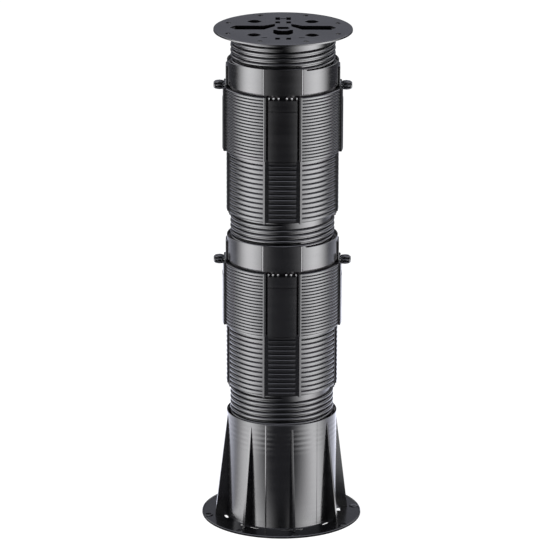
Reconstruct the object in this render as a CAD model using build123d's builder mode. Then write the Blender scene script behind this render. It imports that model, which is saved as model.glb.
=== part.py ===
from build123d import *

import os
from math import cos, radians, sin

os.makedirs("parts", exist_ok=True)

# An adjustable screw pedestal for raised decking, moulded in four pieces.
# A base stands on the roof, two couplers screw into each other above it,
# and a head with a round plate carries the joists. Z is up, the floor is z = 0,
# and the front of the pedestal faces -Y. All sizes are in millimetres.

# Screw size shared by the head and both couplers
thread_r = 56.7
screw_wall = 4.2
bore_clearance = 0.4
lead_in = 1.2

# How far each screw stands out of the piece below it
exposed_in_base = 31.4
exposed_in_coupler = 24.6
exposed_head = 29.2

# Base
base_height = 121.0
base_wall = 3.25
flange_r = 87.7
flange_thickness = 2.5
rib_count = 8
rib_turn = 11.0
rib_thickness = 2.6
rib_foot_reach = 14.0
rib_top_gap = 10.0
drain_slot_length = 12.0
drain_slot_reach = 5.2
fixing_edge = 5.7
fixing_hole_r = 3.2
fixing_boss_r = 5.2
fixing_boss_height = 1.0
seam_angles = (-16.5, 40.0, 163.5, 220.0)
seam_width = 1.4
seam_height = 0.6

# Coupler: the plain collar, then the fine fins, the coarse rings and the screw
collar_height = 28.0
collar_wall = 3.3
collar_gap_height = 1.7
collar_gap_depth = 1.6
fin_zone_height = 70.2
fin_count = 20
fin_rise = 4.6
fin_depth = 2.4
ring_zone_height = 69.4
ring_count = 13
ring_rise = 0.3
ring_depth = 1.1
ring_lip = 1.5
foot_chamfer_height = 1.9
foot_wall = 4.0
spigot_length = 110.0

# Four framed windows around each coupler, with a tongue inside every frame
window_count = 4
frame_width = 42.0
frame_corner_r = 1.5
panel_face_r = 115.0
upper_frame_rise = 0.3
upper_rail = 2.8
tongue_width = 30.4
tongue_top_gap = 3.1
tongue_head_height = 11.8
tongue_head_depth = 0.4
lower_frame_rise = 0.2
lower_rail = 1.7
pocket_floor_height = 0.6
bar_width = 29.4
pocket_floor_wall = 1.2

# Two lugs on each coupler, with a narrow pad above them
lug_angles = (90.0, 270.0)
lug_r = 4.6
lug_length = 8.0
lug_chamfer = 1.3
lug_disc = 1.8
lug_neck = 1.5
lug_neck_r = 3.4
lug_root = 1.8
lug_root_r = 5.6
lug_drop = 31.1
flute_count = 6
flute_width = 1.8
flute_depth = 2.0
flute_cap = 1.6
pad_width = 20.0
pad_rise = 1.3
pad_top_gap = 8.0

# Head
plate_overhang = 18.3
plate_thickness = 2.2
head_tube_length = 110.0
rim_hole_count = 8
rim_hole_edge = 11.0
rim_hole_r = 2.6
screw_hole_place = 31.0
screw_hole_r = 5.4
screw_ear_length = 13.4
screw_ear_width = 5.6
arm_slot_start = 20.4
arm_slot_end = 50.6
arm_slot_width = 11.0
arm_slot_y = 2.7
arm_tip_length = 4.9
arm_tip_width = 3.6
arm_bend_x = 8.6
arm_bend_y = 11.5
arm_bend_width = 8.0
hub_r = 9.6
hub_y = -2.0
hub_slot_length = 13.6
hub_slot_width = 4.4
cup_width = 21.0
cup_length = 23.5
cup_start_y = -7.0
peg_hole_x = 5.9
peg_hole_width = 5.0
peg_hole_rows = {44.0: 9.0, 23.5: 6.2, -48.3: 5.6}
tab_slit_y = 42.0
tab_slit = 1.0
side_slit_x = 20.0
side_slit_y = -43.0
side_slit_length = 6.0
side_slit_width = 2.6

# Values worked out from those above
bore_r = thread_r + bore_clearance
spigot_inner_r = thread_r - screw_wall
base_r = bore_r + base_wall
collar_r = bore_r + collar_wall
gap_r = collar_r - collar_gap_depth
fin_r = collar_r + fin_rise
ring_r = collar_r + ring_rise
upper_frame_r = fin_r + upper_frame_rise
lower_frame_r = ring_r + lower_frame_rise
fin_pitch = fin_zone_height / fin_count
ring_pitch = ring_zone_height / ring_count
plate_r = thread_r + plate_overhang
pocket_floor_r = bore_r + pocket_floor_wall
fins_start = collar_height + collar_gap_height
rings_start = fins_start + fin_zone_height
chamfer_start = rings_start + ring_zone_height
coupler_body = chamfer_start + foot_chamfer_height
coupler_length = coupler_body + spigot_length

lower_rim_z = base_height + exposed_in_base + coupler_body
upper_rim_z = lower_rim_z + exposed_in_coupler + coupler_body
plate_bottom_z = upper_rim_z + exposed_head


def around(angle):
    """Unit direction at an angle from the front, counted to the right as seen from the front."""
    return Vector(sin(radians(angle)), -cos(radians(angle)), 0)


def standing(angle):
    """Plane through the axis: x points outwards at the angle, and y points up."""
    outwards = around(angle)
    return Plane(origin=(0, 0, 0), x_dir=outwards, z_dir=outwards.cross(Vector(0, 0, 1)))


def level(z, angle=0.0):
    """Flat plane at a height: x points outwards at the angle."""
    return Plane(origin=(0, 0, z), x_dir=around(angle), z_dir=(0, 0, 1))


def panel_outline(centre_r, angle, bottom):
    """Outline of a panel whose face is flatter than the tube it stands on."""
    with BuildSketch(level(-bottom, angle)) as outline:
        with Locations((centre_r / 2, 0)):
            Rectangle(centre_r, frame_width)
        with Locations((centre_r - panel_face_r, 0)):
            Circle(panel_face_r, mode=Mode.INTERSECT)
        fillet(outline.vertices().group_by(Axis.X)[-1], frame_corner_r)
    return outline.sketch


def pocket_outline(opening, kept, angle, bottom):
    """Outline of a pocket that stops at a thin round wall, and leaves a tongue of the kept width."""
    with BuildSketch(level(-bottom, angle)) as outline:
        with Locations((upper_frame_r, 0)):
            Rectangle(upper_frame_r, opening)
            if kept:
                Rectangle(upper_frame_r, kept, mode=Mode.SUBTRACT)
        Circle(pocket_floor_r, mode=Mode.SUBTRACT)
    return outline.sketch


# Base: a threaded socket on a round flange, held upright by eight ribs
with BuildPart() as base:
    with BuildSketch(Plane.XZ):
        with BuildLine():
            Polyline(
                (bore_r, 0),
                (flange_r, 0),
                (flange_r, flange_thickness),
                (base_r, flange_thickness),
                (base_r, base_height),
                (bore_r + lead_in, base_height),
                (bore_r, base_height - lead_in),
                close=True,
            )
        make_face()
    revolve(axis=Axis.Z)
    rib_root_r = base_r - base_wall / 2
    for step in range(rib_count):
        angle = rib_turn + step * 360 / rib_count
        with BuildSketch(standing(angle)):
            with BuildLine():
                Polyline(
                    (rib_root_r, flange_thickness / 2),
                    (base_r + rib_foot_reach, flange_thickness / 2),
                    (base_r + rib_foot_reach, flange_thickness),
                    (base_r, base_height - rib_top_gap),
                    (rib_root_r, base_height - rib_top_gap),
                    close=True,
                )
            make_face()
        extrude(amount=rib_thickness / 2, both=True)
        # The rib passes over its drain slot, so only the two sides are cut
        slot_half = (drain_slot_length - rib_thickness) / 2
        with BuildSketch(level(0, angle)):
            for side in (-1, 1):
                with Locations((base_r + drain_slot_reach / 2, side * (rib_thickness + slot_half) / 2)):
                    Rectangle(drain_slot_reach, slot_half)
        extrude(amount=flange_thickness, mode=Mode.SUBTRACT)
        with BuildSketch(level(flange_thickness, angle)):
            with Locations((flange_r - fixing_edge, 0)):
                Circle(fixing_boss_r)
        extrude(amount=fixing_boss_height)
        with BuildSketch(level(0, angle)):
            with Locations((flange_r - fixing_edge, 0)):
                Circle(fixing_hole_r)
        extrude(amount=flange_thickness + fixing_boss_height, mode=Mode.SUBTRACT)
    for angle in seam_angles:
        with BuildSketch(level(flange_thickness, angle)):
            with Locations((base_r, 0)):
                Rectangle(2 * seam_height, seam_width)
        extrude(amount=base_height - flange_thickness - lead_in)
base.part.label = "base"
export_step(base.part, "parts/base.step")


# Each fin comes to an edge halfway down, and each ring has its edge just under its top
fin_tops = [fins_start + fin * fin_pitch for fin in range(fin_count)]
fin_teeth = [point for top in fin_tops for point in ((fin_r - fin_depth, -top), (fin_r, -top - fin_pitch / 2))]
ring_tops = [rings_start + ring * ring_pitch for ring in range(ring_count)]
ring_teeth = [point for top in ring_tops for point in ((ring_r - ring_depth, -top), (ring_r, -top - ring_lip))]

# Coupler, drawn with its rim at z = 0 and its screw pointing down
with BuildPart() as coupler:
    with BuildSketch(Plane.XZ):
        with BuildLine():
            Polyline(
                (0, 0),
                (collar_r, 0),
                (collar_r, -collar_height),
                (gap_r, -collar_height),
                (gap_r, -fins_start),
                *fin_teeth,
                (fin_r - fin_depth, -rings_start),
                *ring_teeth,
                (ring_r, -chamfer_start),
                (thread_r, -coupler_body),
                (thread_r, -coupler_length + lead_in),
                (thread_r - lead_in, -coupler_length),
                (0, -coupler_length),
                close=True,
            )
        make_face()
    revolve(axis=Axis.Z)

    tongue_top = fins_start + tongue_top_gap
    upper_opening = frame_width - 2 * upper_rail
    lower_opening = frame_width - 2 * lower_rail
    for window in range(window_count):
        angle = window * 360 / window_count
        # Collar panel, then the frame over the fins
        for centre_r, top, bottom in ((collar_r, 0, collar_height), (upper_frame_r, fins_start, rings_start)):
            add(panel_outline(centre_r, angle, bottom))
            extrude(amount=bottom - top)
        # Two thin rails carry the frame on down over the rings, to the end of the foot
        with BuildSketch(level(-coupler_body, angle)):
            for side in (-1, 1):
                with Locations((lower_frame_r / 2, side * (frame_width - lower_rail) / 2)):
                    Rectangle(lower_frame_r, lower_rail)
        extrude(amount=coupler_body - rings_start)
        # Slots on both sides of the tongue, and the gap above its free end
        for opening, kept, top, bottom in (
            (upper_opening, tongue_width, fins_start, rings_start),
            (lower_opening, bar_width, rings_start, chamfer_start - pocket_floor_height),
            (upper_opening, 0, fins_start, tongue_top),
        ):
            add(pocket_outline(opening, kept, angle, bottom))
            extrude(amount=bottom - top, mode=Mode.SUBTRACT)
        # The head of the tongue is set back a little from the rest of its face
        with BuildSketch(level(-tongue_top - tongue_head_height, angle)):
            with Locations((upper_frame_r, 0)):
                Rectangle(upper_frame_r, tongue_width)
            with Locations((upper_frame_r - panel_face_r, 0)):
                Circle(panel_face_r - tongue_head_depth, mode=Mode.SUBTRACT)
        extrude(amount=tongue_head_height, mode=Mode.SUBTRACT)

    for angle in lug_angles:
        # Pad above the lug
        with BuildSketch(level(-lug_drop, angle)):
            with Locations((collar_r, 0)):
                Rectangle(2 * pad_rise, pad_width)
        extrude(amount=lug_drop - pad_top_gap)
        # Lug: a root, a thin neck, then a fluted pin with a rounded end
        root_end = collar_r + pad_rise + lug_root
        disc_start = root_end + lug_neck
        lug_end = disc_start + lug_disc + lug_length
        with BuildSketch(standing(angle)):
            with BuildLine():
                Polyline(
                    (gap_r, -lug_drop),
                    (gap_r, lug_root_r - lug_drop),
                    (root_end, lug_r - lug_drop),
                    (root_end, lug_neck_r - lug_drop),
                    (disc_start, lug_neck_r - lug_drop),
                    (disc_start, lug_r - lug_drop),
                    (lug_end - lug_chamfer, lug_r - lug_drop),
                    (lug_end, lug_r - lug_chamfer - lug_drop),
                    (lug_end, -lug_drop),
                    close=True,
                )
            make_face()
        revolve(axis=Axis(origin=(0, 0, -lug_drop), direction=around(angle)))
        flute_start = around(angle) * (disc_start + lug_disc) - Vector(0, 0, lug_drop)
        with BuildSketch(Plane(origin=flute_start, z_dir=around(angle))):
            with PolarLocations(lug_r - flute_depth / 2, flute_count):
                Rectangle(flute_depth, flute_width)
        extrude(amount=lug_length - flute_cap, mode=Mode.SUBTRACT)

    # The bore comes last, so that it trims everything inside it
    with BuildSketch(Plane.XZ):
        with BuildLine():
            Polyline(
                (0, 0),
                (bore_r + lead_in, 0),
                (bore_r, -lead_in),
                (bore_r, foot_wall - chamfer_start),
                (spigot_inner_r, -coupler_body),
                (spigot_inner_r, -coupler_length),
                (0, -coupler_length),
                close=True,
            )
        make_face()
    revolve(axis=Axis.Z, mode=Mode.SUBTRACT)

# Both couplers are the same moulding at two heights
with BuildPart() as coupler_lower:
    with Locations((0, 0, lower_rim_z)):
        add(coupler.part)
coupler_lower.part.label = "coupler_lower"
export_step(coupler_lower.part, "parts/coupler_lower.step")

with BuildPart() as coupler_upper:
    with Locations((0, 0, upper_rim_z)):
        add(coupler.part)
coupler_upper.part.label = "coupler_upper"
export_step(coupler_upper.part, "parts/coupler_upper.step")


# Head: a round plate with its cut-outs, on the screw that goes into the upper coupler
with BuildPart() as head:
    with BuildSketch(level(plate_bottom_z - head_tube_length)):
        Circle(thread_r)
        Circle(spigot_inner_r, mode=Mode.SUBTRACT)
    extrude(amount=head_tube_length)
    chamfer(head.edges().group_by(Axis.Z)[0].sort_by(SortBy.RADIUS)[-1], lead_in)
    with BuildSketch(Plane.XY.offset(plate_bottom_z)) as plate:
        Circle(plate_r)
        with PolarLocations(plate_r - rim_hole_edge, rim_hole_count, start_angle=180 / rim_hole_count):
            Circle(rim_hole_r, mode=Mode.SUBTRACT)
        with GridLocations(2 * screw_hole_place, 2 * screw_hole_place, 2, 2):
            Circle(screw_hole_r, mode=Mode.SUBTRACT)
            SlotOverall(screw_ear_length, screw_ear_width, mode=Mode.SUBTRACT)
        # Two bent arm slots that point at the hub
        with BuildLine():
            Polyline(
                (arm_slot_end + arm_tip_length, arm_slot_y - arm_tip_width / 2),
                (arm_slot_end + arm_tip_length, arm_slot_y + arm_tip_width / 2),
                (arm_slot_end, arm_slot_y + arm_slot_width / 2),
                (arm_slot_start, arm_slot_y + arm_slot_width / 2),
                (arm_bend_x, arm_bend_y + arm_bend_width / 2),
                (arm_bend_x, arm_bend_y - arm_bend_width / 2),
                (arm_slot_start, arm_slot_y - arm_slot_width / 2),
                (arm_slot_end, arm_slot_y - arm_slot_width / 2),
                close=True,
            )
        arm_slot = make_face(mode=Mode.SUBTRACT)
        mirror(arm_slot, about=Plane.YZ, mode=Mode.SUBTRACT)
        # The cup in front of the hub, then the hub with its oval slot
        with Locations((0, cup_start_y - cup_length / 2)):
            RectangleRounded(cup_width, cup_length, cup_width / 4, mode=Mode.SUBTRACT)
        with Locations((0, hub_y)):
            Circle(hub_r)
            SlotOverall(hub_slot_length, hub_slot_width, mode=Mode.SUBTRACT)
        for row_y, peg_hole_length in peg_hole_rows.items():
            with Locations((-peg_hole_x, row_y), (peg_hole_x, row_y)):
                Rectangle(peg_hole_width, peg_hole_length, mode=Mode.SUBTRACT)
        with Locations((0, tab_slit_y)):
            Rectangle(2 * peg_hole_x, tab_slit, mode=Mode.SUBTRACT)
        with Locations((-side_slit_x, side_slit_y), (side_slit_x, side_slit_y)):
            Rectangle(side_slit_length, side_slit_width, mode=Mode.SUBTRACT)
    extrude(amount=plate_thickness)
head.part.label = "head"
export_step(head.part, "parts/head.step")
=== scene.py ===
# %% [markdown]
# # A decking pedestal in black plastic
# This lesson dresses a screw pedestal for raised decking: a flanged base, two
# ribbed couplers that screw into each other, and a head with a round plate.
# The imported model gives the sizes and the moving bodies. The pieces made here
# stand in for its plain solids, with the fine ribs, threads and edges added.

# %% Load the frame
from math import asin, atan2, cos, degrees, pi, radians, sin, sqrt

import bmesh
import bpy
from mathutils import Matrix, Vector


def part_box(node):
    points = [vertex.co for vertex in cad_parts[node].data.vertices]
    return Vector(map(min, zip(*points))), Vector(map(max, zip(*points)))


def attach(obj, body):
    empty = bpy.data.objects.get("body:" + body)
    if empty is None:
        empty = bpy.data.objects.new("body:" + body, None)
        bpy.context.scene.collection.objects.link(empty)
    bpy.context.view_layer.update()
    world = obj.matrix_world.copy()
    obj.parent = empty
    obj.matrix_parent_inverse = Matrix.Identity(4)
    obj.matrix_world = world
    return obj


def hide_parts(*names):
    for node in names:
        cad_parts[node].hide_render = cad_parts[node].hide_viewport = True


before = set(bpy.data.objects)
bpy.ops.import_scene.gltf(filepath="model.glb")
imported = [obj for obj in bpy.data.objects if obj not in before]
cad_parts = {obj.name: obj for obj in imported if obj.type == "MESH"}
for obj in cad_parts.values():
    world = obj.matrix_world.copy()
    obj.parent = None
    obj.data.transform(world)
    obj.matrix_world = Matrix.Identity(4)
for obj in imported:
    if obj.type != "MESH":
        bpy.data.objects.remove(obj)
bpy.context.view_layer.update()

# %% [markdown]
# ## Sizes
# All shapes are drawn in millimetres and become metres when a piece is
# finished. The frame gives the places: the top of each coupler's box is its
# rim, and the top of the head's box is the plate.

# %% Sizes taken from the frame
MM = 0.001


def top_of(node_name):
    """Height of a node's highest point, in millimetres."""
    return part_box(node_name)[1].z / MM


base_top = top_of("base")
rim = {name: top_of(name) for name in ("coupler_lower", "coupler_upper")}
plate_top = top_of("head")
flange_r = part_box("base")[1].x / MM
print("rims at", {name: round(z, 1) for name, z in rim.items()})

# %% Sizes of the screws
bore_r = 57.1
thread_r = 56.7
thread_pitch = 5.75
tube_inner_r = 52.5

# %% [markdown]
# ## Camera
# The photograph was taken from far away with a long lens, a little from
# above. A long lens keeps the tall tubes straight. The small roll leans the
# picture as the photograph leans.

# %% Camera
camera_distance = 4.446
camera_height = 1.617
camera_pitch = 16.807
camera_yaw = 0.101
camera_roll = 0.19
focal_pixels = 4254
frame_pixels = 550

camera_data = bpy.data.cameras.new("camera")
camera_data.sensor_width = 36
camera_data.lens = focal_pixels / frame_pixels * camera_data.sensor_width
camera_data.clip_end = 60
camera = bpy.data.objects.new("camera", camera_data)
bpy.context.scene.collection.objects.link(camera)
camera.matrix_world = (
    Matrix.Translation((0, -camera_distance, camera_height))
    @ Matrix.Rotation(radians(camera_yaw), 4, "Z")
    @ Matrix.Rotation(radians(90 - camera_pitch), 4, "X")
    @ Matrix.Rotation(radians(camera_roll), 4, "Z")
)
bpy.context.scene.camera = camera
bpy.context.scene.view_settings.view_transform = "Standard"
print("lens in mm:", round(camera_data.lens, 1))

# %% [markdown]
# ## Colours and nodes
# Colours are written as the hex values a painter would pick, and one function
# turns them into the linear values that Blender mixes. One more function adds
# a node with its settings and its links, so a material reads as a short list.
# The small ones after it stand for the sums that such a list often needs.

# %% Colour and node helpers
def linear(hex_colour):
    """Linear RGBA of an sRGB hex colour such as 0d0d0e."""
    channels = [int(hex_colour[i : i + 2], 16) / 255 for i in (0, 2, 4)]
    mixed = [c / 12.92 if c <= 0.04045 else ((c + 0.055) / 1.055) ** 2.4 for c in channels]
    return (*mixed, 1)


def node(tree, kind, inputs=None, **settings):
    """Add a node. Inputs hold values, or sockets of other nodes to link from."""
    made = tree.nodes.new(kind)
    for name, value in settings.items():
        setattr(made, name, value)
    for name, value in (inputs or {}).items():
        if isinstance(value, bpy.types.NodeSocket):
            tree.links.new(value, made.inputs[name])
        else:
            made.inputs[name].default_value = value
    return made


def material_tree(name):
    """A new material with an empty node tree."""
    made = bpy.data.materials.new(name)
    made.use_nodes = True
    made.node_tree.nodes.clear()
    return made, made.node_tree


# %% Sums and fades of node values
def math(tree, operation, a, b=0.0):
    """Result of one math node."""
    return node(tree, "ShaderNodeMath", {0: a, 1: b}, operation=operation).outputs[0]


def product(tree, *factors):
    """All factors multiplied."""
    result = factors[0]
    for factor in factors[1:]:
        result = math(tree, "MULTIPLY", result, factor)
    return result


def total(tree, *terms):
    """All terms added."""
    result = terms[0]
    for term in terms[1:]:
        result = math(tree, "ADD", result, term)
    return result


def rise(tree, value, start, end):
    """0 below start, 1 above end, eased between."""
    return node(tree, "ShaderNodeMapRange", {0: value, 1: start, 2: end, 3: 0.0, 4: 1.0},
                interpolation_type="SMOOTHSTEP").outputs[0]


def fall(tree, value, start, end):
    """1 below start, 0 above end, eased between."""
    return math(tree, "SUBTRACT", 1.0, rise(tree, value, start, end))


# %% [markdown]
# ## Floor and background
# The photograph's ground is plain white. The floor is white paper: it shows
# its own white to the camera, and a part of its light comes from the lamps,
# so the pedestal still leaves its shadow there. The world behind it is the
# same white, seen by camera, glossy and transmission rays.

# %% White floor
floor_radius = 30
bounce_paper = "f4f4f4"
# For the camera, grey paper under the lamps and its own glow add up to white
shaded_paper, paper_glow = "a8a8a8", 0.84


def sees_background(tree):
    """1 for camera, glossy and transmission rays, 0 for the light itself."""
    path = node(tree, "ShaderNodeLightPath")
    both = math(tree, "MAXIMUM", path.outputs["Is Camera Ray"], path.outputs["Is Glossy Ray"])
    return math(tree, "MAXIMUM", both, path.outputs["Is Transmission Ray"])


floor_material, tree = material_tree("white_paper_floor")
paper = node(tree, "ShaderNodeBsdfDiffuse", {"Color": linear(shaded_paper)})
glow = node(tree, "ShaderNodeEmission", {"Color": linear("ffffff"), "Strength": paper_glow})
glowing_paper = node(tree, "ShaderNodeAddShader", {0: paper.outputs[0], 1: glow.outputs[0]})
plain_paper = node(tree, "ShaderNodeBsdfDiffuse", {"Color": linear(bounce_paper)})
floor_mix = node(tree, "ShaderNodeMixShader", {0: sees_background(tree), 1: plain_paper.outputs[0],
                                               2: glowing_paper.outputs[0]})
node(tree, "ShaderNodeOutputMaterial", {"Surface": floor_mix.outputs[0]})

bm = bmesh.new()
bmesh.ops.create_circle(bm, cap_ends=True, segments=64, radius=floor_radius)
floor_mesh = bpy.data.meshes.new("floor")
bm.to_mesh(floor_mesh)
bm.free()
floor = bpy.data.objects.new("floor", floor_mesh)
bpy.context.scene.collection.objects.link(floor)
floor_mesh.materials.append(floor_material)

# %% World
room_strength = 0.55

world = bpy.data.worlds.new("studio")
bpy.context.scene.world = world
world.use_nodes = True
tree = world.node_tree
tree.nodes.clear()
room_light = node(tree, "ShaderNodeBackground", {"Color": linear("e8e8ea"),
                                                 "Strength": room_strength})
white_ground = node(tree, "ShaderNodeBackground", {"Color": linear("ffffff"), "Strength": 1.0})
world_mix = node(tree, "ShaderNodeMixShader", {0: sees_background(tree), 1: room_light.outputs[0],
                                               2: white_ground.outputs[0]})
node(tree, "ShaderNodeOutputWorld", {"Surface": world_mix.outputs[0]})
print("floor and world made")

# %% [markdown]
# ## Studio light
# Black plastic shows little colour of its own: what the eye sees is the room
# mirrored in it. A photographer stands such a piece in a dark tent with one
# broad light on either side, so each tube gets a bright band left and right
# and stays black in the middle. Two smaller lights behind draw the edges of
# the ribs at the far left and right.
#
# Two lamps alone can't do this: an upright wall that is seen from above
# mirrors the ground in front of it and nothing higher. So the tent here is a
# dome with a card on its floor, and both glow for glossy rays alone. One soft
# lamp overhead lights the colours and throws the shadow.

# %% Strengths and places of the lights
side_light = 12.6  # two broad lights, left and right
rear_light = 2.4   # two small ones behind, left and right
top_light = 3.2    # the dome overhead
near_glow = 2.2    # the card behind the pedestal, close to it
back_glow = 0.14   # the dome behind
level_glow = 0.13  # dome and card behind
front_glow = 0.2   # the card all round, close to the pedestal
tent_dark = 0.03   # the unlit cloth
middle_gap = 0.10  # half the dark gap between the side lights, in metres

# Angles from the front, in degrees, where each light fades in and where it
# fades out. The side lights' pairs are (close to the pedestal, far from it).
side_starts = (0, 60), (2, 67)
side_ends = (46, 119), (69, 115)
rear_starts, rear_ends = (95, 120), (135, 160)
back_starts = (92, 124)
# Heights and distances from the axis, in metres, between which a light fades
close_to_far = (0.35, 1.3)
side_tops = (0.4, 1.5)
rear_bottoms, rear_tops = (0.6, 1.2), (1.8, 2.6)
near_reach, front_reach = (0.3, 1.6), (0.9, 1.9)
back_bottoms, top_bottoms = (0.2, 0.9), (1.4, 2.6)
close_share = 0.85  # of the side lights' strength, where the card is close


# %% Light of the tent
def blend_angles(tree, near, far, amount):
    """Two angles in degrees, from near to far by the amount, as sockets in radians."""
    return [math(tree, "ADD", radians(a), math(tree, "MULTIPLY", amount, radians(b - a)))
            for a, b in zip(near, far)]


tent_material, tree = material_tree("tent_with_side_lights")
place = node(tree, "ShaderNodeSeparateXYZ",
             {0: node(tree, "ShaderNodeTexCoord").outputs["Object"]})
x, y, z = (place.outputs[i] for i in range(3))
# Both sides are alike, so only the angle away from the front counts
wide = math(tree, "MAXIMUM", math(tree, "SUBTRACT", math(tree, "ABSOLUTE", x), middle_gap), 0.0)
from_front = math(tree, "ARCTAN2", wide, math(tree, "MULTIPLY", y, -1.0))
reach = math(tree, "SQRT", total(tree, product(tree, x, x), product(tree, y, y)))
far = rise(tree, reach, *close_to_far)
strength = total(tree, close_share, product(tree, far, 1 - close_share))
side = product(tree, rise(tree, from_front, *blend_angles(tree, *side_starts, far)),
               fall(tree, from_front, *blend_angles(tree, *side_ends, far)),
               fall(tree, z, *side_tops), side_light, strength)
rear = product(tree, rise(tree, from_front, *map(radians, rear_starts)),
               fall(tree, from_front, *map(radians, rear_ends)),
               rise(tree, z, *rear_bottoms), fall(tree, z, *rear_tops), rear_light)
near = total(tree, product(tree, fall(tree, reach, *near_reach), near_glow),
             product(tree, rise(tree, z, *back_bottoms), back_glow), level_glow)
behind = product(tree, rise(tree, from_front, *map(radians, back_starts)), near)
above = product(tree, rise(tree, z, *top_bottoms), top_light)
front = product(tree, fall(tree, reach, *front_reach), front_glow)
dim = total(tree, above, behind, front, tent_dark)
side_glow = node(tree, "ShaderNodeEmission", {"Color": linear("fafafc"),
                                              "Strength": total(tree, side, rear)})
dim_glow = node(tree, "ShaderNodeEmission", {"Color": linear("eef0ff"), "Strength": dim})
both_glows = node(tree, "ShaderNodeAddShader", {0: side_glow.outputs[0], 1: dim_glow.outputs[0]})
node(tree, "ShaderNodeOutputMaterial", {"Surface": both_glows.outputs[0]})

# %% Dome and floor card
tent_radius = 3.2
card_height = 0.0008

bm = bmesh.new()
bmesh.ops.create_uvsphere(bm, u_segments=64, v_segments=32, radius=tent_radius)
bmesh.ops.bisect_plane(bm, geom=bm.verts[:] + bm.edges[:] + bm.faces[:],
                       plane_co=(0, 0, card_height), plane_no=(0, 0, 1), clear_inner=True)
bmesh.ops.create_circle(bm, cap_ends=True, segments=64, radius=tent_radius,
                        matrix=Matrix.Translation((0, 0, card_height)))
tent_mesh = bpy.data.meshes.new("tent")
bm.to_mesh(tent_mesh)
bm.free()
tent = bpy.data.objects.new("tent", tent_mesh)
bpy.context.scene.collection.objects.link(tent)
tent_mesh.materials.append(tent_material)
# Glossy rays alone see the tent, and it throws no shadow
for ray in ("camera", "diffuse", "transmission", "volume_scatter", "shadow"):
    setattr(tent, "visible_" + ray, False)
print("tent radius in m:", tent_radius)

# %% Overhead lamp
lamp_data = bpy.data.lights.new("overhead", "AREA")
lamp_data.shape = "DISK"
lamp_data.size = 1.8
lamp_data.energy = 30
lamp = bpy.data.objects.new("overhead", lamp_data)
lamp.location = (-0.4, -0.8, 2.4)
lamp_target = Vector((0, 0, 0.3))
lamp.rotation_euler = (lamp_target - lamp.location).to_track_quat("-Z", "Y").to_euler()
lamp.visible_glossy = False
lamp.visible_camera = False
bpy.context.scene.collection.objects.link(lamp)
print("lamp power in W:", lamp_data.energy)

# %% [markdown]
# ## Black polypropylene
# Roof pedestals are moulded in black polypropylene with soot in it, which the
# sun doesn't harm. The mould leaves a satin skin: nearly black, with a soft
# gloss, a grain of about half a millimetre and faint flow marks. The grain
# sits in the bump, and slow noise varies the gloss so that no wide surface
# looks printed.

# %% Moulded plastic
def moulded_plastic(name, colour, roughness, grain_mm, grain_strength):
    """Satin moulded polypropylene, from its colour, its gloss and its grain."""
    flow_mm, flow_swing, grain_depth_mm = 4, 0.03, 0.02
    made, tree = material_tree(name)
    place = node(tree, "ShaderNodeTexCoord").outputs["Object"]
    grain = node(tree, "ShaderNodeTexNoise", {"Vector": place, "Scale": 1 / (grain_mm * MM),
                                              "Detail": 2.0, "Roughness": 0.6})
    # The melt flows round the wall in faint level bands, so the pattern is stretched round it
    stretched = node(tree, "ShaderNodeMapping", {"Vector": place, "Scale": (0.1, 0.1, 1)})
    flow = node(tree, "ShaderNodeTexNoise", {"Vector": stretched.outputs[0],
                                             "Scale": 1 / (flow_mm * MM), "Detail": 3.0})
    gloss = node(tree, "ShaderNodeMapRange", {0: flow.outputs[0], 1: 0.3, 2: 0.7,
                                              3: roughness - flow_swing,
                                              4: roughness + flow_swing})
    bump = node(tree, "ShaderNodeBump", {"Height": grain.outputs[0], "Strength": grain_strength,
                                         "Distance": grain_depth_mm * MM})
    surface = node(tree, "ShaderNodeBsdfPrincipled", {
        "Base Color": linear(colour), "Roughness": gloss.outputs[0], "IOR": 1.5,
        "Normal": bump.outputs[0]})
    node(tree, "ShaderNodeOutputMaterial", {"Surface": surface.outputs[0]})
    return made


# Polypropylene with soot, injection moulded in a finely etched steel mould
satin_black = moulded_plastic("moulded_polypropylene_satin", "0d0d0f", roughness=0.2,
                              grain_mm=0.5, grain_strength=0.4)
print("materials:", [m.name for m in bpy.data.materials])

# %% [markdown]
# ## Three ways to make a shape
# Nearly every piece here is turned, pushed or repeated round the axis. A
# turned piece is a closed outline spun about Z. An upright piece is a flat
# outline pulled up. Both start from a few points, so each shape's section is
# easy to read and to change. Booleans could cut the same shapes out of a
# tube, but they leave long thin faces that shade badly on a glossy skin.

# %% Shape helpers
merge_distance = 0.0005


def everything(bm):
    """All parts of a bmesh, as its operators want them."""
    return bm.verts[:] + bm.edges[:] + bm.faces[:]


def new_face(bm, points):
    """One flat face through points."""
    return bm.faces.new([bm.verts.new(p) for p in points])


def spun(outline, middle=0.0, sweep=360.0, steps=180, centre=(0, 0, 0)):
    """Spin an outline of (radius, height) points. Middle is its angle, from front to right."""
    bm = bmesh.new()
    start = radians(middle - sweep / 2)
    direction = Vector((sin(start), -cos(start), 0))
    face = new_face(bm, [Vector(centre) + direction * r + Vector((0, 0, z)) for r, z in outline])
    if sweep >= 360:
        edges = face.edges[:]
        bmesh.ops.delete(bm, geom=[face], context="FACES_ONLY")
        bmesh.ops.spin(bm, geom=bm.verts[:] + edges, cent=centre, axis=(0, 0, 1), angle=2 * pi,
                       steps=steps, use_merge=True)
    else:
        bmesh.ops.spin(bm, geom=[face], cent=centre, axis=(0, 0, 1), angle=radians(sweep),
                       steps=steps)
    bmesh.ops.remove_doubles(bm, verts=bm.verts, dist=merge_distance)
    bmesh.ops.delete(bm, geom=[e for e in bm.edges if not e.link_faces], context="EDGES")
    bmesh.ops.recalc_face_normals(bm, faces=bm.faces)
    return bm


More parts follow.
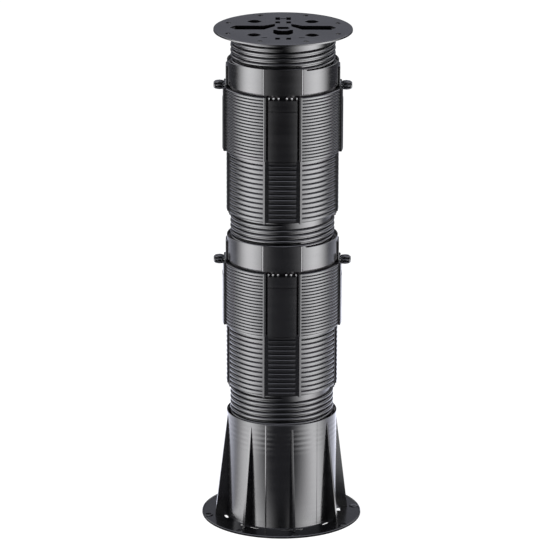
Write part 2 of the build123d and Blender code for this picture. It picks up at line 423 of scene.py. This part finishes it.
def pushed(points, push):
    """Draw a flat outline through points and push it into a solid."""
    bm = bmesh.new()
    extruded = bmesh.ops.extrude_face_region(bm, geom=[new_face(bm, points)])
    moved = [g for g in extruded["geom"] if isinstance(g, bmesh.types.BMVert)]
    bmesh.ops.translate(bm, verts=moved, vec=push)
    bmesh.ops.recalc_face_normals(bm, faces=bm.faces)
    return bm


def pulled(points, top, bottom):
    """Pull a flat outline of (x, y) points up from bottom to top."""
    return pushed([(x, y, bottom) for x, y in points], (0, 0, top - bottom))


def rounded_edges(bm, width, segments=3, pick=None):
    """Bevel the picked edges, or all of them."""
    edges = [e for e in bm.edges if pick is None or pick(e)]
    bmesh.ops.bevel(bm, geom=edges, offset=width, offset_type="OFFSET", segments=segments,
                    profile=0.5, affect="EDGES", material=-1, clamp_overlap=True)
    return bm


# %% Helpers that join and repeat
def joined(*parts):
    """Join several bmeshes into the first and free the others."""
    whole = parts[0]
    for part in parts[1:]:
        loose = bpy.data.meshes.new("loose")
        part.to_mesh(loose)
        part.free()
        whole.from_mesh(loose)
        bpy.data.meshes.remove(loose)
    return whole


def repeated(bm, count):
    """Repeat everything round the axis, count times in all."""
    bmesh.ops.spin(bm, geom=everything(bm), cent=(0, 0, 0), axis=(0, 0, 1),
                   angle=radians(360 / count) * (count - 1), steps=count - 1, use_duplicate=True)
    return bm


def turned(bm, angle):
    """Turn everything about the axis by an angle to the right."""
    bmesh.ops.rotate(bm, verts=bm.verts, cent=(0, 0, 0),
                     matrix=Matrix.Rotation(radians(angle), 3, "Z"))
    return bm


pieces_made = []


def finished(bm, name, body, height=0.0, sharp=32):
    """Lift a bmesh to its height, turn it into metres and make it a piece of a body."""
    open_edges = sum(1 for e in bm.edges if len(e.link_faces) != 2)
    bmesh.ops.translate(bm, verts=bm.verts, vec=(0, 0, height))
    bmesh.ops.scale(bm, verts=bm.verts, vec=(MM, MM, MM))
    mesh = bpy.data.meshes.new(name)
    bm.to_mesh(mesh)
    bm.free()
    mesh.shade_smooth()
    mesh.set_sharp_from_angle(angle=radians(sharp))
    mesh.materials.append(satin_black)
    piece = bpy.data.objects.new(name, mesh)
    bpy.context.scene.collection.objects.link(piece)
    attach(piece, body)
    pieces_made.append(piece)
    triangles = sum(len(p.vertices) - 2 for p in mesh.polygons)
    print(f"{name}: {triangles} triangles, {open_edges} open edges")
    return piece


# %% [markdown]
# ## Screw thread
# The male threads are moulded, with a wide flat crest and a narrow groove.
# A helix can be cut into the tube or laid on it. Laid on is simpler: the
# outline of one ridge is spun and lifted at each step, and it stands on a
# plain tube that fills the grooves' floor. Its right-hand climb starts so that
# the grooves pass the front at the heights that the photograph shows.

# %% Thread helper
thread_steps = 120
groove_floor_r = 53.7
sunk = 0.6
# Section of the ridge, as (height above the groove's floor, way up or down)
ridge_outline = (
    (0.0, -2.15), (2.2, -1.9), (2.75, -1.5), (3.0, -0.9),
    (3.0, -0.1), (2.86, 0.6), (2.45, 1.25), (1.7, 1.65), (0.0, 1.85),
)


def screw_ridge(groove_at_front, lowest, highest):
    """One ridge from the lowest to the highest turn, with a groove at the front where given."""
    middle = groove_at_front + thread_pitch / 2
    first = middle - int((middle - lowest) / thread_pitch - 0.5) * thread_pitch
    turns = int((highest - first) / thread_pitch - 0.25)
    points = [(groove_floor_r - sunk, ridge_outline[0][1])]
    points += [(groove_floor_r + out, up) for out, up in ridge_outline]
    points += [(groove_floor_r - sunk, ridge_outline[-1][1])]
    bm = bmesh.new()
    section = [bm.verts.new((0, -r, first + z)) for r, z in points]
    loop = [bm.edges.new((a, b)) for a, b in zip(section, section[1:] + section[:1])]
    # One open turn is spun, and copies of it are stacked a pitch apart
    bmesh.ops.spin(bm, geom=section + loop, cent=(0, 0, 0), axis=(0, 0, 1), angle=2 * pi,
                   dvec=(0, 0, thread_pitch / thread_steps), steps=thread_steps)
    bmesh.ops.spin(bm, geom=everything(bm), cent=(0, 0, 0), axis=(0, 0, 1), angle=0,
                   dvec=(0, 0, thread_pitch), steps=turns - 1, use_duplicate=True)
    bmesh.ops.remove_doubles(bm, verts=bm.verts, dist=merge_distance)
    open_ends = [e for e in bm.edges if len(e.link_faces) == 1]
    bmesh.ops.holes_fill(bm, edges=open_ends, sides=0)
    bmesh.ops.recalc_face_normals(bm, faces=bm.faces)
    return bm


# %% [markdown]
# ## Base socket
# The base is a round socket on a flat flange, held upright by eight tapered
# ribs. Near its top the wall shows shallow sink marks, where the thread
# inside is thicker. They could be bump in the material, but a mark that
# catches the light from every side is shape, so the socket is turned with
# those waves in its outline.

# %% Base socket
base_r = 60.35
flange_thickness = 1.5
bead_height = 2.5
sink_depth = 0.13
sink_zone = 36.0
sink_steps = 60


def socket_outline():
    """Section of the socket, from the bore up and down its wavy outside."""
    edge = 0.3
    points = [(bore_r, 0.2), (bore_r, base_top - 4.0), (base_r - edge - 0.25, base_top - 0.3),
              (base_r - edge, base_top), (base_r, base_top - edge)]
    for step in range(1, sink_steps + 1):
        drop = step / sink_steps * sink_zone
        fade = sin(pi * step / sink_steps)
        wave = (1 - cos(2 * pi * drop / thread_pitch)) / 2
        points.append((base_r - sink_depth * fade * wave, base_top - edge - drop))
    # The wall flares where it meets the flange
    points += [(base_r, flange_thickness + 1.2), (base_r + 0.4, flange_thickness + 0.35),
               (base_r + 1.2, flange_thickness - 0.1), (base_r + 1.2, 0.2)]
    return points


socket = finished(spun(socket_outline(), steps=240), "base_socket", "base")
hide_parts("base")

# %% [markdown]
# ## Base flange
# The flange is a thin disc with eight fixing holes, curved drain slots on both
# sides of each rib's foot, and a raised bead round its rim. A disc with holes
# is best left to a flat curve: it fills itself between its outlines and
# rounds every edge, and the mesh comes out clean.

# %% Flat outlines and plates
def circle_points(radius, count, x=0.0, y=0.0):
    """Points of a circle, as a flat outline."""
    return [(x + radius * cos(2 * pi * i / count), y + radius * sin(2 * pi * i / count))
            for i in range(count)]


def placed(points, angle, reach):
    """Carry a flat outline outwards, then round the axis. Its x points outwards."""
    a = radians(angle - 90)
    return [((px + reach) * cos(a) - py * sin(a), (px + reach) * sin(a) + py * cos(a))
            for px, py in points]


def flat_plate(name, outlines, bottom, top, edge):
    """A plate with rounded edges, from its outer outline and the outlines of its holes."""
    curve = bpy.data.curves.new(name, "CURVE")
    curve.dimensions = "2D"
    curve.fill_mode = "BOTH"
    curve.extrude = (top - bottom) / 2 - edge
    curve.bevel_depth = edge
    curve.bevel_resolution = 1
    curve.offset = -edge
    for outline in outlines:
        spline = curve.splines.new("POLY")
        spline.points.add(len(outline) - 1)
        for point, (px, py) in zip(spline.points, outline):
            point.co = (px, py, 0, 1)
        spline.use_cyclic_u = True
    holder = bpy.data.objects.new(name + "_curve", curve)
    bpy.context.scene.collection.objects.link(holder)
    bpy.context.view_layer.update()
    graph = bpy.context.evaluated_depsgraph_get()
    mesh = bpy.data.meshes.new_from_object(holder.evaluated_get(graph))
    bm = bmesh.new()
    bm.from_mesh(mesh)
    bpy.data.objects.remove(holder)
    bpy.data.curves.remove(curve)
    bpy.data.meshes.remove(mesh)
    bmesh.ops.remove_doubles(bm, verts=bm.verts, dist=2 * merge_distance)
    bmesh.ops.recalc_face_normals(bm, faces=bm.faces)
    bmesh.ops.translate(bm, verts=bm.verts, vec=(0, 0, (top + bottom) / 2))
    return bm


# %% Base flange
rib_angles = [11 + 45 * k for k in range(8)]
fixing_hole_r = 3.2
fixing_ring_r = flange_r - 5.7
slot_near, slot_far = base_r + 1.3, base_r + 5.0
slot_start, slot_end = 1.3, 11.5
bead_width, bead_edge = 1.6, 0.4


def slot_outline(angle, hand):
    """A curved slot beside a rib's foot, hugging the socket's wall."""
    steps = [radians(angle + hand * (slot_start + (slot_end - slot_start) * k / 8))
             for k in range(9)]
    return ([(slot_near * sin(a), -slot_near * cos(a)) for a in steps]
            + [(slot_far * sin(a), -slot_far * cos(a)) for a in reversed(steps)])


outlines = [circle_points(flange_r, 240), circle_points(bore_r + 0.6, 180)]
for angle in rib_angles:
    outlines.append(placed(circle_points(fixing_hole_r, 28), angle, fixing_ring_r))
    outlines += [slot_outline(angle, -1), slot_outline(angle, 1)]
flange = flat_plate("base_flange", outlines, 0.0, flange_thickness, 0.15)
bead = spun([(flange_r - bead_width, bead_edge),
             (flange_r - bead_width, bead_height - bead_edge),
             (flange_r - bead_width + bead_edge, bead_height),
             (flange_r - bead_edge, bead_height), (flange_r, bead_height - bead_edge),
             (flange_r, bead_edge)], steps=240)
finished(flange, "base_flange", "base", sharp=12)
finished(bead, "base_flange_bead", "base")

# %% [markdown]
# ## Ribs, bosses and seams
# A rib is a thin slanted slab, so its side is pushed into a solid and its
# outer edges are rounded. That rounding matters more than the slab: it is the
# thin light line that runs down each rib. The boss round each fixing hole is
# turned. Two pairs of seams show where the mould's halves met.

# %% Base ribs and bosses
rib_thickness = 2.9
rib_foot_reach = 14.0
rib_drop = 5.2
rib_rounding = 1.05
top_thinning = 0.75


def rib(angle):
    """One tapered rib, thin at its outer edge, and its boss on the flange."""
    top = base_top - rib_drop
    root, foot = base_r - 1.6, base_r + rib_foot_reach
    section = [(root, 1.4), (foot, 1.4), (foot, flange_thickness + 0.6), (base_r + 0.25, top),
               (root, top + 0.5)]
    bm = pushed([(-rib_thickness / 2, -r, z) for r, z in section], (rib_thickness, 0, 0))
    # The mould draws upwards, so the rib is thinner at its top
    for v in bm.verts:
        if v.co.z > top - 1:
            v.co.x *= top_thinning
    bmesh.ops.recalc_face_normals(bm, faces=bm.faces)
    rounded_edges(bm, rib_rounding, 4, lambda e: min(v.co.z for v in e.verts) > 1.8)
    boss = spun([(fixing_hole_r, 0.4), (fixing_hole_r, flange_thickness + 1.0),
                 (4.8, flange_thickness + 1.0), (5.2, flange_thickness + 0.6), (5.2, 0.4)],
                steps=40, centre=(0, -fixing_ring_r, 0))
    return turned(joined(bm, boss), angle)


ribs = joined(*[rib(angle) for angle in rib_angles])
finished(ribs, "base_ribs", "base")

# %% Base seams
# Angle from the front, width and height of each
seam_sizes = ((-16.5, 1.8, 0.42), (40.0, 0.7, 0.12), (163.5, 1.8, 0.42), (220.0, 0.7, 0.12))


def seam(angle, width, height):
    """Upright witness line of the mould, a low strip on the socket that leans to one side."""
    inner = base_r - 0.6
    bm = pulled([(-width / 2, -inner), (-width / 2, -(base_r - 0.05)),
                 (width * 0.2, -(base_r + height)), (width * 0.35, -(base_r + height * 0.8)),
                 (width / 2, -(base_r - 0.1)), (width / 2, -inner)],
                base_top - 1.0, flange_thickness)
    return turned(bm, angle)


finished(joined(*[seam(*sizes) for sizes in seam_sizes]), "base_seams", "base")

# %% [markdown]
# ## Coupler
# Both couplers are one moulding at two heights. From the top down it has a
# plain collar, twenty fine fins, thirteen coarse rings, and the screw that
# goes into the piece below. Four flat-faced windows with a framed tongue
# stand at the quarters, so the fins and rings are sectors between them. All
# heights here are measured down from the coupler's rim.

# %% Coupler sizes
collar_r = 60.4
collar_height = 28.0
fins_start = 29.7
fin_r = 65.0
rings_start = 99.9
ring_r = 60.8
rings_end = 169.3
foot_end = 171.2
floor_r = 58.3
spigot_length = 110.0
panel_face_r = 115.0
panel_half = 20.2
frame_half = 21.0

# %% [markdown]
# ## Coupler tube
# One turned tube carries everything: the bore that the next screw turns in,
# the wall behind the ribs, and the plain screw core below. Its rim has a
# raised lip at the front, which steps down on the right and runs down a ramp
# on the left. Turning can't do that, so the rim's points are lowered after.

# %% Coupler tube
rim_drop = 2.1
rim_depth = 1.5
rim_bore_r = 59.75
rim_front = (-42, 25)
rim_ramp = 34


def lowered_rim(bm):
    """Lower the rim behind its raised front lip: by a step on the right, a ramp on the left."""
    for v in bm.verts:
        if v.co.z > -rim_depth:
            angle = degrees(atan2(v.co.x, -v.co.y))
            if angle > rim_front[1]:
                v.co.z -= rim_drop
            elif angle < rim_front[0]:
                v.co.z -= rim_drop * min((rim_front[0] - angle) / rim_ramp, 1)
    return bm


def coupler_tube():
    """The tube behind the windows, from the rim to the end of the screw."""
    edge = 0.3
    screw_end = -foot_end - spigot_length
    return lowered_rim(spun([
        # The bore, and the rim round it
        (bore_r, -rings_end + 4), (bore_r, -9.0), (rim_bore_r, -7.0), (rim_bore_r, -0.3),
        (rim_bore_r + 0.1, 0), (collar_r - edge, 0), (collar_r, -edge), (collar_r, -4.0),
        # The collar, and the wall behind fins and rings
        (collar_r, -collar_height + 0.2), (collar_r - 0.2, -collar_height),
        (floor_r + 0.5, -collar_height), (floor_r + 0.5, -fins_start), (floor_r, -fins_start),
        (floor_r, -rings_end),
        # The screw's core
        (groove_floor_r + 1.5, -foot_end), (groove_floor_r, -foot_end),
        (groove_floor_r, screw_end + 1.2), (groove_floor_r - 0.6, screw_end),
        (tube_inner_r, screw_end), (tube_inner_r, -foot_end),
    ], steps=240))


# %% [markdown]
# ## Fins and rings
# The light on this part is drawn by the lands between the grooves, so their
# section is worth the most care: each is round above, where the light comes
# from, and nearly sharp below. One function draws the whole stack as one
# outline, and one spin makes a quarter of it. Inside the windows the rings go
# on as flatter bars.

# %% Fins and rings
fin_count, ring_count = 20, 13
fin_pitch = (rings_start - fins_start) / fin_count
ring_pitch = (rings_end - rings_start) / ring_count
fin_depth, fin_gap = 2.4, 0.7
ring_depth, ring_gap = 2.3, 1.4
bar_half = 14.7
# Roundings of a land as (set back, way along it): of its upper edge, then of its lower edge
fin_land = (((0.8, 0.03), (0.4, 0.16), (0.14, 0.4), (0.0, 0.8)),
            ((0.4, 0.03), (0.12, 0.16), (0.0, 0.45)))
ring_land = (((1.1, 0.05), (0.6, 0.28), (0.22, 0.7), (0.0, 1.4)),
             ((0.5, 0.05), (0.15, 0.2), (0.0, 0.6)))


def ribbed_outline(start, count, pitch, radius, depth, gap, land):
    """Ribs below each other: a groove of the gap's width, then a land."""
    upper_edge, lower_edge = land
    points = [(floor_r - 0.4, -start)]
    for k in range(count):
        top, bottom = -start - k * pitch - gap / 2, -start - (k + 1) * pitch + gap / 2
        points.append((radius - depth, top))
        points += [(radius - r, top - z) for r, z in upper_edge]
        points += [(radius - r, bottom + z) for r, z in reversed(lower_edge)]
        points.append((radius - depth, bottom))
    points.append((floor_r - 0.4, -(start + count * pitch)))
    return points


def sector(outline, radius):
    """A quarter of the fins or rings, between two windows."""
    return spun(outline, middle=45, sweep=90 - 2 * degrees(asin(panel_half / radius)), steps=32)


def fin_sectors():
    """The fins of all four sectors."""
    outline = ribbed_outline(fins_start, fin_count, fin_pitch, fin_r, fin_depth, fin_gap, fin_land)
    return repeated(sector(outline, fin_r), 4)


def ring_sectors():
    """The rings of all four sectors, and the bars that carry them on inside the windows."""
    outline = ribbed_outline(rings_start, ring_count, ring_pitch, ring_r, ring_depth, ring_gap,
                             ring_land)
    flatter = panel_face_r - ring_r
    bars = spun([(r + flatter, z) for r, z in outline],
                sweep=2 * degrees(asin(bar_half / panel_face_r)), steps=16, centre=(0, flatter, 0))
    return repeated(joined(sector(outline, ring_r), bars), 4)


# %% [markdown]
# ## Windows
# Each window is a frame of two rails, a tongue between them that hangs free
# in its gap, and below them two low rails beside the bars. The faces look
# flat, but a truly flat face would turn black or white all at once as the
# eye moves. They are spun with a wide radius, so the light fades over them.
# The front and the back also have a flat panel on the collar.

# %% Collar panel
panel_back_r = 60.0


def collar_panel():
    """The flat-faced panel on the collar. Its corners are small facets and its sides lean."""
    arc = [-20.6 + 41.2 * k / 24 for k in range(25)]
    face = [(x, panel_face_r - collar_r - sqrt(panel_face_r**2 - x * x)) for x in arc]
    left_side, right_side = [(-22.4, -55.9), (-21.5, -57.85)], [(21.5, -57.85), (22.4, -55.9)]
    # The back follows the wall of the tube, and stays clear of the bore
    back_angles = [radians(21.6 - 3.6 * k) for k in range(13)]
    back = [(panel_back_r * sin(a), -panel_back_r * cos(a)) for a in back_angles]
    return pulled(left_side + face + right_side + back, 0, -collar_height)


# %% Window frame and tongue
frame_face = 65.3
rail_inner, rail_depth = 18.0, 9.4
low_rail_inner, low_rail_sweep = 18.9, 2.1
low_rail_face, low_rail_back = 60.9, 57.4
tongue_half, tongue_depth = 15.5, 8.0
tongue_top, tongue_head_end = 32.8, 44.6
head_gap, head_set_back = 0.5, 0.4
window_floor, window_back, window_floor_half = 58.6, 57.4, 19


def flat_faced(x_from, x_to, face, depth, top, bottom, steps):
    """An upright slab whose face is slightly round, with the panels' wide radius."""
    a, b = (degrees(asin(x / panel_face_r)) for x in (x_from, x_to))
    back = panel_face_r - depth
    outline = [(panel_face_r, -top), (panel_face_r, -bottom), (back, -bottom), (back, -top)]
    return spun(outline, middle=(a + b) / 2, sweep=b - a, steps=steps,
                centre=(0, panel_face_r - face, 0))


def outer_corner(edge):
    """Is this an upright edge at the outer corner of the frame?"""
    a, b = (v.co for v in edge.verts)
    is_upright = abs(a.x - b.x) + abs(a.y - b.y) < 0.01
    return is_upright and abs(abs(a.x) - frame_half) < 0.1 and a.y < -58


def window(rail_rounding):
    """Everything of one window: floor, frame, tongue and lower rails."""
    half = window_floor_half
    parts = [pulled([(-half, -window_back), (-half, -window_floor), (half, -window_floor),
                     (half, -window_back)], -rings_start + 0.5, -rings_end)]
    low_outline = [(low_rail_back, -foot_end), (low_rail_face, -foot_end),
                   (low_rail_face, -rings_start), (low_rail_back, -rings_start)]
    low_middle = degrees(asin((low_rail_inner + frame_half) / 2 / low_rail_face))
    for hand in (-1, 1):
        x_near, x_far = sorted((rail_inner * hand, frame_half * hand))
        rail = flat_faced(x_near, x_far, frame_face, rail_depth, fins_start, rings_start, 2)
        parts.append(rounded_edges(rail, rail_rounding, 3, outer_corner))
        parts.append(spun(low_outline, middle=low_middle * hand, sweep=low_rail_sweep, steps=3))
    # The tongue, and its head set back above a fine gap
    parts.append(flat_faced(-tongue_half, tongue_half, frame_face, tongue_depth,
                            tongue_head_end + head_gap, rings_start, 20))
    parts.append(flat_faced(-tongue_half, tongue_half, frame_face - head_set_back,
                            tongue_depth - head_set_back, tongue_top, tongue_head_end, 20))
    return joined(*parts)


# %% [markdown]
# ## Lugs and teeth
# A lug stands out on either side, to turn the coupler by hand or with a bar:
# a pad, a turned root and cap, and between them an upright web with swollen
# ribs. It is drawn standing on the axis, where turning is simple, and laid
# down along X at the end. The teeth are small wedges in the gap above the
# tongue, pointed so that each shows one speck of light.

# %% Lugs
lug_drop = 31.1
# Each outline is (radius about the lug, distance from the pedestal's axis)
lug_root = [(0, 58.9), (5.6, 58.9), (5.6, 60.2), (4.6, 62.6), (3.0, 63.0), (2.6, 64.2),
            (3.4, 64.6), (3.4, 65.4), (2.6, 65.7), (0, 65.7)]
lug_cap = [(0, 72.2), (3.3, 72.2), (4.0, 72.6), (4.2, 73.3), (3.9, 74.1), (3.0, 74.7), (0, 74.8)]
lug_rib = [(0, 64), (0.5, 64), (0.95, 66), (1.2, 68.5), (0.95, 71), (0.5, 73), (0, 73)]
lug_rib_heights, lug_rib_side = (3.5, 0.1, -3.3), 3.2


def lug():
    """Pad, root, end cap and the ribbed pin between them, drawn to the right along X."""
    pad = pulled([(-10, -59.1), (-10, -61.7), (10, -61.7), (10, -59.1)], -8, -lug_drop)
    pad = turned(rounded_edges(pad, 0.5, 2), 90)
    web = pulled([(-4.1, -0.7), (4.1, -0.7), (4.1, 0.7), (-4.1, 0.7)], 73, 63)
    pin = joined(spun(lug_root, steps=40), spun(lug_cap, steps=40), web)
    # Three ribs stand on each side of the web, so the pin shows light lines on black
    for up in lug_rib_heights:
        for side_y in (-lug_rib_side, lug_rib_side):
            pin = joined(pin, spun(lug_rib, steps=20, centre=(-up, side_y, 0)))
    bmesh.ops.rotate(pin, verts=pin.verts, cent=(0, 0, 0), matrix=Matrix.Rotation(pi / 2, 3, "Y"))
    bmesh.ops.translate(pin, verts=pin.verts, vec=(0, 0, -lug_drop))
    return joined(pad, pin)


# %% Teeth above the tongue
tooth_places = (-15.0, -9.9, -4.5, 4.3, 9.6, 15.4)
tooth_half = 1.0
tooth_front, tooth_shoulder, tooth_back = -62.6, -61.98, -58.0
tooth_top, tooth_bottom = -29.9, -32.6


def tooth(x):
    """One wedge, with its edge to the front."""
    return pulled([(x, tooth_front), (x - tooth_half, tooth_shoulder), (x - tooth_half, tooth_back),
                   (x + tooth_half, tooth_back), (x + tooth_half, tooth_shoulder)],
                  tooth_top, tooth_bottom)


# %% Make both couplers
front_rounding, side_rounding = 0.9, 0.1
coupler_groove = -183.2


def make_coupler(body):
    """All pieces of one coupler, at its own rim."""
    height = rim[body]
    tube = finished(coupler_tube(), body + "_tube", body, height)
    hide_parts(body)
    finished(fin_sectors(), body + "_fins", body, height)
    finished(ring_sectors(), body + "_rings", body, height)
    windows = joined(repeated(window(front_rounding), 2),
                     turned(repeated(window(side_rounding), 2), 90))
    finished(windows, body + "_windows", body, height)
    panels = repeated(collar_panel(), 2)
    finished(lowered_rim(panels), body + "_collar_panels", body, height, sharp=20)
    finished(repeated(lug(), 2), body + "_lugs", body, height)
    teeth = joined(*[tooth(x) for x in tooth_places])
    finished(repeated(teeth, 4), body + "_teeth", body, height)
    ridge = screw_ridge(coupler_groove, -foot_end - spigot_length + 1.2, -rings_end + 1.0)
    finished(ridge, body + "_thread", body, height)


for body in ("coupler_lower", "coupler_upper"):
    make_coupler(body)

# %% [markdown]
# ## Head
# The head is a round plate on its own screw. The plate is cut by two bent arm
# slots, a hub with an oval slot, a cup in front of it, screw holes with side
# ears and small holes near the rim. It is made as the flange is, from a flat
# curve. Its top edge is rounded a little more, because with a sharp one the
# plate would look like cut sheet metal.

# %% Outlines of the plate's openings
ear_hole_r = 6.3
ear_half_length, ear_half_width = 7.4, 3.2
ear_hole_stretch = 1.15


def eared_hole(x, y, count=48):
    """A round hole with two side ears, as the larger of a circle and an oval at each angle."""
    points = []
    straight = ear_half_length - ear_half_width
    for i in range(count):
        a = 2 * pi * i / count
        c, s = abs(cos(a)), abs(sin(a))
        reach = straight * c + sqrt(max(ear_half_width**2 - (straight * s) ** 2, 0))
        if s > 0 and ear_half_width / s * c <= straight:
            reach = ear_half_width / s
        r = max(ear_hole_r, reach)
        points.append((x + r * cos(a), y + ear_hole_stretch * r * sin(a)))
    return points


def oblong(x, y, width, length):
    """A rectangle about its middle."""
    return [(x - width / 2, y - length / 2), (x + width / 2, y - length / 2),
            (x + width / 2, y + length / 2), (x - width / 2, y + length / 2)]


right_arm = [(56.5, 0.6), (56.5, 4.8), (51.0, 12.0), (20.8, 12.0), (8.8, 20.5), (8.8, 8.5),
             (20.8, -6.8), (51.0, -6.8)]
left_arm = [(-x, y) for x, y in right_arm]
cup = [(-10.5, -7.0), (-10.5, -24.0), (-6.0, -30.5), (6.0, -30.5), (10.5, -24.0), (10.5, -7.0),
       (7.9, -7.5), (4.5, -10.5), (0.0, -11.6), (-4.5, -10.5), (-7.9, -7.5)]
hub_r, hub_half, hub_stretch, hub_y = 3.6, 3.2, 1.55, 1.2
hub_slot = [(px + (hub_half if px > 0 else -hub_half), hub_stretch * py + hub_y)
            for px, py in circle_points(hub_r, 24)]
# Pairs of square holes, as (place, length), then the line between the rear pair
square_holes, square_half, square_width = ((44.5, 12.5), (27.0, 9.5), (-47.5, 9.0)), 5.9, 5.0
rear_slit = oblong(0, 44.0, 6.0, 3.6)
front_slits = [oblong(x, -43.0, 6.0, 2.6) for x in (-20, 20)]

# %% Head plate
plate_r = 75.0
plate_thickness = 2.2
plate_bottom = plate_top - plate_thickness
plate_edge = 0.1
rim_hole_r, rim_hole_ring_r, rim_hole_stretch = 2.7, 64, 1.3
screw_hole_place = 31


def softened_rim(bm):
    """Widen the rounding of the plate's top outer edge to about half a millimetre."""
    for v in bm.verts:
        reach = v.co.to_2d().length
        if v.co.z > plate_top - 0.15 and reach > plate_r - 0.15:
            # The small rounding has three rows of points, and each is carried further in or down
            below = plate_top - v.co.z
            drop, inset = (0.12, 0.2) if below > 0.01 else (0.0, 0.4)
            if below > 0.08:
                drop, inset = 0.62, 0.0
            v.co.z = plate_top - drop
            v.co.x *= (plate_r - inset) / reach
            v.co.y *= (plate_r - inset) / reach
    return bm


outlines = [circle_points(plate_r, 240)]
for k in range(8):
    a = radians(22.5 + 45 * k)
    hole_x, hole_y = rim_hole_ring_r * cos(a), rim_hole_ring_r * sin(a)
    outlines.append([(px, hole_y + (py - hole_y) * rim_hole_stretch)
                     for px, py in circle_points(rim_hole_r, 24, hole_x, hole_y)])
for x in (-screw_hole_place, screw_hole_place):
    for y in (-screw_hole_place, screw_hole_place):
        outlines.append(eared_hole(x, y))
outlines += [right_arm, left_arm, cup, hub_slot]
for row_y, length in square_holes:
    for x in (-square_half, square_half):
        outlines.append(oblong(x, row_y, square_width, length))
outlines += [rear_slit, *front_slits]
plate = flat_plate("head_plate", outlines, plate_bottom, plate_top, plate_edge)
head_plate = finished(softened_rim(plate), "head_plate", "head", sharp=12)
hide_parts("head")

# %% Head screw
head_screw_length = 110
neck_length = 3.4
head_groove_drop = 16.6


def head_tube():
    """The head's tube, with the smooth neck that carries the plate."""
    top = plate_bottom + 0.4
    neck = plate_bottom - neck_length
    bottom = plate_bottom - head_screw_length
    return spun([(tube_inner_r, bottom), (tube_inner_r, top), (thread_r, top), (thread_r, neck),
                 (thread_r - 0.4, neck - 0.6), (groove_floor_r, neck - 1.0),
                 (groove_floor_r, bottom + 1.2), (groove_floor_r - 1.2, bottom)], steps=240)


finished(head_tube(), "head_tube", "head")
ridge = screw_ridge(plate_bottom - head_groove_drop, plate_bottom - head_screw_length + 1.2,
                    plate_bottom - 1.0)
finished(ridge, "head_thread", "head")

# %% [markdown]
# ## Pieces
# The last cell prints how many pieces were made.

# %% Count of pieces
print("pieces:", len(pieces_made))
